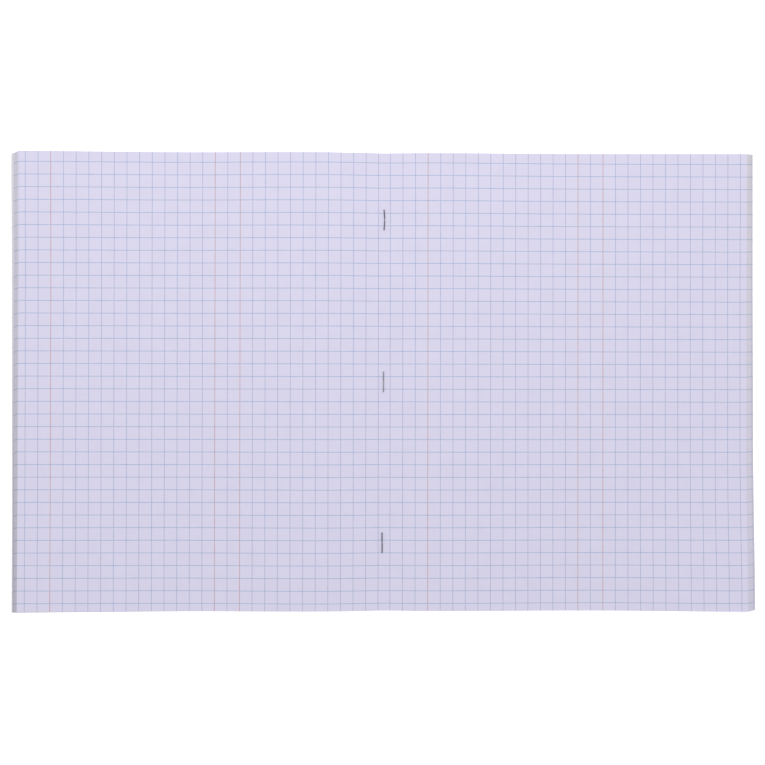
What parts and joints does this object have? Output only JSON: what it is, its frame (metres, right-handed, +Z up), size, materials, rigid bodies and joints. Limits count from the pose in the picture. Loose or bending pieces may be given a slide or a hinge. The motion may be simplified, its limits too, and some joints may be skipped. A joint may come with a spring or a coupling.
{
  "type": "stapled exercise book",
  "caption": "Stapled exercise book lying open at its middle page: squared leaves folded and nested in a card cover, each leaf and the cover turning about the fold.",
  "frame": {"origin": "on the table, under the middle of the open book", "axes": "+X across the open spread to the right, +Y along the fold to the head, +Z up"},
  "size_m": [0.4152, 0.255, 0.006],
  "materials": {
    "paper": "matt",
    "card": "matt",
    "wire": "satin"
  },
  "bodies": {
    "back_cover": {"back_cover": "card"},
    "front_cover": {"front_cover": "card"},
    "spine": {"cover_spine": "card", "sheet_folds": "paper", "staple_head": "wire", "staple_middle": "wire", "staple_foot": "wire"},
    "leaf_01": {"leaf_01": "paper"},
    "leaf_02": {"leaf_02": "paper"},
    "leaf_03": {"leaf_03": "paper"},
    "leaf_04": {"leaf_04": "paper"},
    "leaf_05": {"leaf_05": "paper"},
    "leaf_06": {"leaf_06": "paper"},
    "leaf_07": {"leaf_07": "paper"},
    "leaf_08": {"leaf_08": "paper"},
    "leaf_09": {"leaf_09": "paper"},
    "leaf_10": {"leaf_10": "paper"},
    "leaf_11": {"leaf_11": "paper"},
    "leaf_12": {"leaf_12": "paper"},
    "leaf_13": {"leaf_13": "paper"},
    "leaf_14": {"leaf_14": "paper"},
    "leaf_15": {"leaf_15": "paper"},
    "leaf_16": {"leaf_16": "paper"},
    "leaf_17": {"leaf_17": "paper"},
    "leaf_18": {"leaf_18": "paper"},
    "leaf_19": {"leaf_19": "paper"},
    "leaf_20": {"leaf_20": "paper"},
    "leaf_21": {"leaf_21": "paper"},
    "leaf_22": {"leaf_22": "paper"},
    "leaf_23": {"leaf_23": "paper"},
    "leaf_24": {"leaf_24": "paper"},
    "leaf_25": {"leaf_25": "paper"},
    "leaf_26": {"leaf_26": "paper"},
    "leaf_27": {"leaf_27": "paper"},
    "leaf_28": {"leaf_28": "paper"},
    "leaf_29": {"leaf_29": "paper"},
    "leaf_30": {"leaf_30": "paper"},
    "leaf_31": {"leaf_31": "paper"},
    "leaf_32": {"leaf_32": "paper"},
    "leaf_33": {"leaf_33": "paper"},
    "leaf_34": {"leaf_34": "paper"},
    "leaf_35": {"leaf_35": "paper"},
    "leaf_36": {"leaf_36": "paper"},
    "leaf_37": {"leaf_37": "paper"},
    "leaf_38": {"leaf_38": "paper"},
    "leaf_39": {"leaf_39": "paper"},
    "leaf_40": {"leaf_40": "paper"}
  },
  "joints": [
    {"name": "cover_turn", "type": "hinge", "parent": "back_cover", "child": "front_cover", "pos_m": [0, 0, 0.0055], "axis": [0, 1, 0], "range_deg": [0, 180]},
    {"name": "spine_roll", "type": "hinge", "parent": "back_cover", "child": "spine", "pos_m": [0, 0, 0.0055], "axis": [0, 1, 0], "range_deg": [0, 90]},
    {"name": "leaf_20_turn", "type": "hinge", "parent": "leaf_19", "child": "leaf_20", "pos_m": [0, 0, 0.0055], "axis": [0, -1, 0], "range_deg": [-180, 0]},
    {"name": "leaf_21_turn", "type": "hinge", "parent": "leaf_22", "child": "leaf_21", "pos_m": [0, 0, 0.0055], "axis": [0, 1, 0], "range_deg": [-180, 0]},
    {"name": "leaf_19_turn", "type": "hinge", "parent": "leaf_18", "child": "leaf_19", "pos_m": [0, 0, 0.0055], "axis": [0, -1, 0], "range_deg": [-180, 0]},
    {"name": "leaf_22_turn", "type": "hinge", "parent": "leaf_23", "child": "leaf_22", "pos_m": [0, 0, 0.0055], "axis": [0, 1, 0], "range_deg": [-180, 0]},
    {"name": "leaf_18_turn", "type": "hinge", "parent": "leaf_17", "child": "leaf_18", "pos_m": [0, 0, 0.0055], "axis": [0, -1, 0], "range_deg": [-180, 0]},
    {"name": "leaf_23_turn", "type": "hinge", "parent": "leaf_24", "child": "leaf_23", "pos_m": [0, 0, 0.0055], "axis": [0, 1, 0], "range_deg": [-180, 0]},
    {"name": "leaf_17_turn", "type": "hinge", "parent": "leaf_16", "child": "leaf_17", "pos_m": [0, 0, 0.0055], "axis": [0, -1, 0], "range_deg": [-180, 0]},
    {"name": "leaf_24_turn", "type": "hinge", "parent": "leaf_25", "child": "leaf_24", "pos_m": [0, 0, 0.0055], "axis": [0, 1, 0], "range_deg": [-180, 0]},
    {"name": "leaf_16_turn", "type": "hinge", "parent": "leaf_15", "child": "leaf_16", "pos_m": [0, 0, 0.0055], "axis": [0, -1, 0], "range_deg": [-180, 0]},
    {"name": "leaf_25_turn", "type": "hinge", "parent": "leaf_26", "child": "leaf_25", "pos_m": [0, 0, 0.0055], "axis": [0, 1, 0], "range_deg": [-180, 0]},
    {"name": "leaf_15_turn", "type": "hinge", "parent": "leaf_14", "child": "leaf_15", "pos_m": [0, 0, 0.0055], "axis": [0, -1, 0], "range_deg": [-180, 0]},
    {"name": "leaf_26_turn", "type": "hinge", "parent": "leaf_27", "child": "leaf_26", "pos_m": [0, 0, 0.0055], "axis": [0, 1, 0], "range_deg": [-180, 0]},
    {"name": "leaf_14_turn", "type": "hinge", "parent": "leaf_13", "child": "leaf_14", "pos_m": [0, 0, 0.0055], "axis": [0, -1, 0], "range_deg": [-180, 0]},
    {"name": "leaf_27_turn", "type": "hinge", "parent": "leaf_28", "child": "leaf_27", "pos_m": [0, 0, 0.0055], "axis": [0, 1, 0], "range_deg": [-180, 0]},
    {"name": "leaf_13_turn", "type": "hinge", "parent": "leaf_12", "child": "leaf_13", "pos_m": [0, 0, 0.0055], "axis": [0, -1, 0], "range_deg": [-180, 0]},
    {"name": "leaf_28_turn", "type": "hinge", "parent": "leaf_29", "child": "leaf_28", "pos_m": [0, 0, 0.0055], "axis": [0, 1, 0], "range_deg": [-180, 0]},
    {"name": "leaf_12_turn", "type": "hinge", "parent": "leaf_11", "child": "leaf_12", "pos_m": [0, 0, 0.0055], "axis": [0, -1, 0], "range_deg": [-180, 0]},
    {"name": "leaf_29_turn", "type": "hinge", "parent": "leaf_30", "child": "leaf_29", "pos_m": [0, 0, 0.0055], "axis": [0, 1, 0], "range_deg": [-180, 0]},
    {"name": "leaf_11_turn", "type": "hinge", "parent": "leaf_10", "child": "leaf_11", "pos_m": [0, 0, 0.0055], "axis": [0, -1, 0], "range_deg": [-180, 0]},
    {"name": "leaf_30_turn", "type": "hinge", "parent": "leaf_31", "child": "leaf_30", "pos_m": [0, 0, 0.0055], "axis": [0, 1, 0], "range_deg": [-180, 0]},
    {"name": "leaf_10_turn", "type": "hinge", "parent": "leaf_09", "child": "leaf_10", "pos_m": [0, 0, 0.0055], "axis": [0, -1, 0], "range_deg": [-180, 0]},
    {"name": "leaf_31_turn", "type": "hinge", "parent": "leaf_32", "child": "leaf_31", "pos_m": [0, 0, 0.0055], "axis": [0, 1, 0], "range_deg": [-180, 0]},
    {"name": "leaf_09_turn", "type": "hinge", "parent": "leaf_08", "child": "leaf_09", "pos_m": [0, 0, 0.0055], "axis": [0, -1, 0], "range_deg": [-180, 0]},
    {"name": "leaf_32_turn", "type": "hinge", "parent": "leaf_33", "child": "leaf_32", "pos_m": [0, 0, 0.0055], "axis": [0, 1, 0], "range_deg": [-180, 0]},
    {"name": "leaf_08_turn", "type": "hinge", "parent": "leaf_07", "child": "leaf_08", "pos_m": [0, 0, 0.0055], "axis": [0, -1, 0], "range_deg": [-180, 0]},
    {"name": "leaf_33_turn", "type": "hinge", "parent": "leaf_34", "child": "leaf_33", "pos_m": [0, 0, 0.0055], "axis": [0, 1, 0], "range_deg": [-180, 0]},
    {"name": "leaf_07_turn", "type": "hinge", "parent": "leaf_06", "child": "leaf_07", "pos_m": [0, 0, 0.0055], "axis": [0, -1, 0], "range_deg": [-180, 0]},
    {"name": "leaf_34_turn", "type": "hinge", "parent": "leaf_35", "child": "leaf_34", "pos_m": [0, 0, 0.0055], "axis": [0, 1, 0], "range_deg": [-180, 0]},
    {"name": "leaf_06_turn", "type": "hinge", "parent": "leaf_05", "child": "leaf_06", "pos_m": [0, 0, 0.0055], "axis": [0, -1, 0], "range_deg": [-180, 0]},
    {"name": "leaf_35_turn", "type": "hinge", "parent": "leaf_36", "child": "leaf_35", "pos_m": [0, 0, 0.0055], "axis": [0, 1, 0], "range_deg": [-180, 0]},
    {"name": "leaf_05_turn", "type": "hinge", "parent": "leaf_04", "child": "leaf_05", "pos_m": [0, 0, 0.0055], "axis": [0, -1, 0], "range_deg": [-180, 0]},
    {"name": "leaf_36_turn", "type": "hinge", "parent": "leaf_37", "child": "leaf_36", "pos_m": [0, 0, 0.0055], "axis": [0, 1, 0], "range_deg": [-180, 0]},
    {"name": "leaf_04_turn", "type": "hinge", "parent": "leaf_03", "child": "leaf_04", "pos_m": [0, 0, 0.0055], "axis": [0, -1, 0], "range_deg": [-180, 0]},
    {"name": "leaf_37_turn", "type": "hinge", "parent": "leaf_38", "child": "leaf_37", "pos_m": [0, 0, 0.0055], "axis": [0, 1, 0], "range_deg": [-180, 0]},
    {"name": "leaf_03_turn", "type": "hinge", "parent": "leaf_02", "child": "leaf_03", "pos_m": [0, 0, 0.0055], "axis": [0, -1, 0], "range_deg": [-180, 0]},
    {"name": "leaf_38_turn", "type": "hinge", "parent": "leaf_39", "child": "leaf_38", "pos_m": [0, 0, 0.0055], "axis": [0, 1, 0], "range_deg": [-180, 0]},
    {"name": "leaf_02_turn", "type": "hinge", "parent": "leaf_01", "child": "leaf_02", "pos_m": [0, 0, 0.0055], "axis": [0, -1, 0], "range_deg": [-180, 0]},
    {"name": "leaf_39_turn", "type": "hinge", "parent": "leaf_40", "child": "leaf_39", "pos_m": [0, 0, 0.0055], "axis": [0, 1, 0], "range_deg": [-180, 0]},
    {"name": "leaf_01_turn", "type": "hinge", "parent": "front_cover", "child": "leaf_01", "pos_m": [0, 0, 0.0055], "axis": [0, -1, 0], "range_deg": [-180, 0]},
    {"name": "leaf_40_turn", "type": "hinge", "parent": "back_cover", "child": "leaf_40", "pos_m": [0, 0, 0.0055], "axis": [0, 1, 0], "range_deg": [-180, 0]}
  ],
  "couplings": [
    {"joint": "spine_roll", "follows": "cover_turn", "ratio": 0.5}
  ]
}
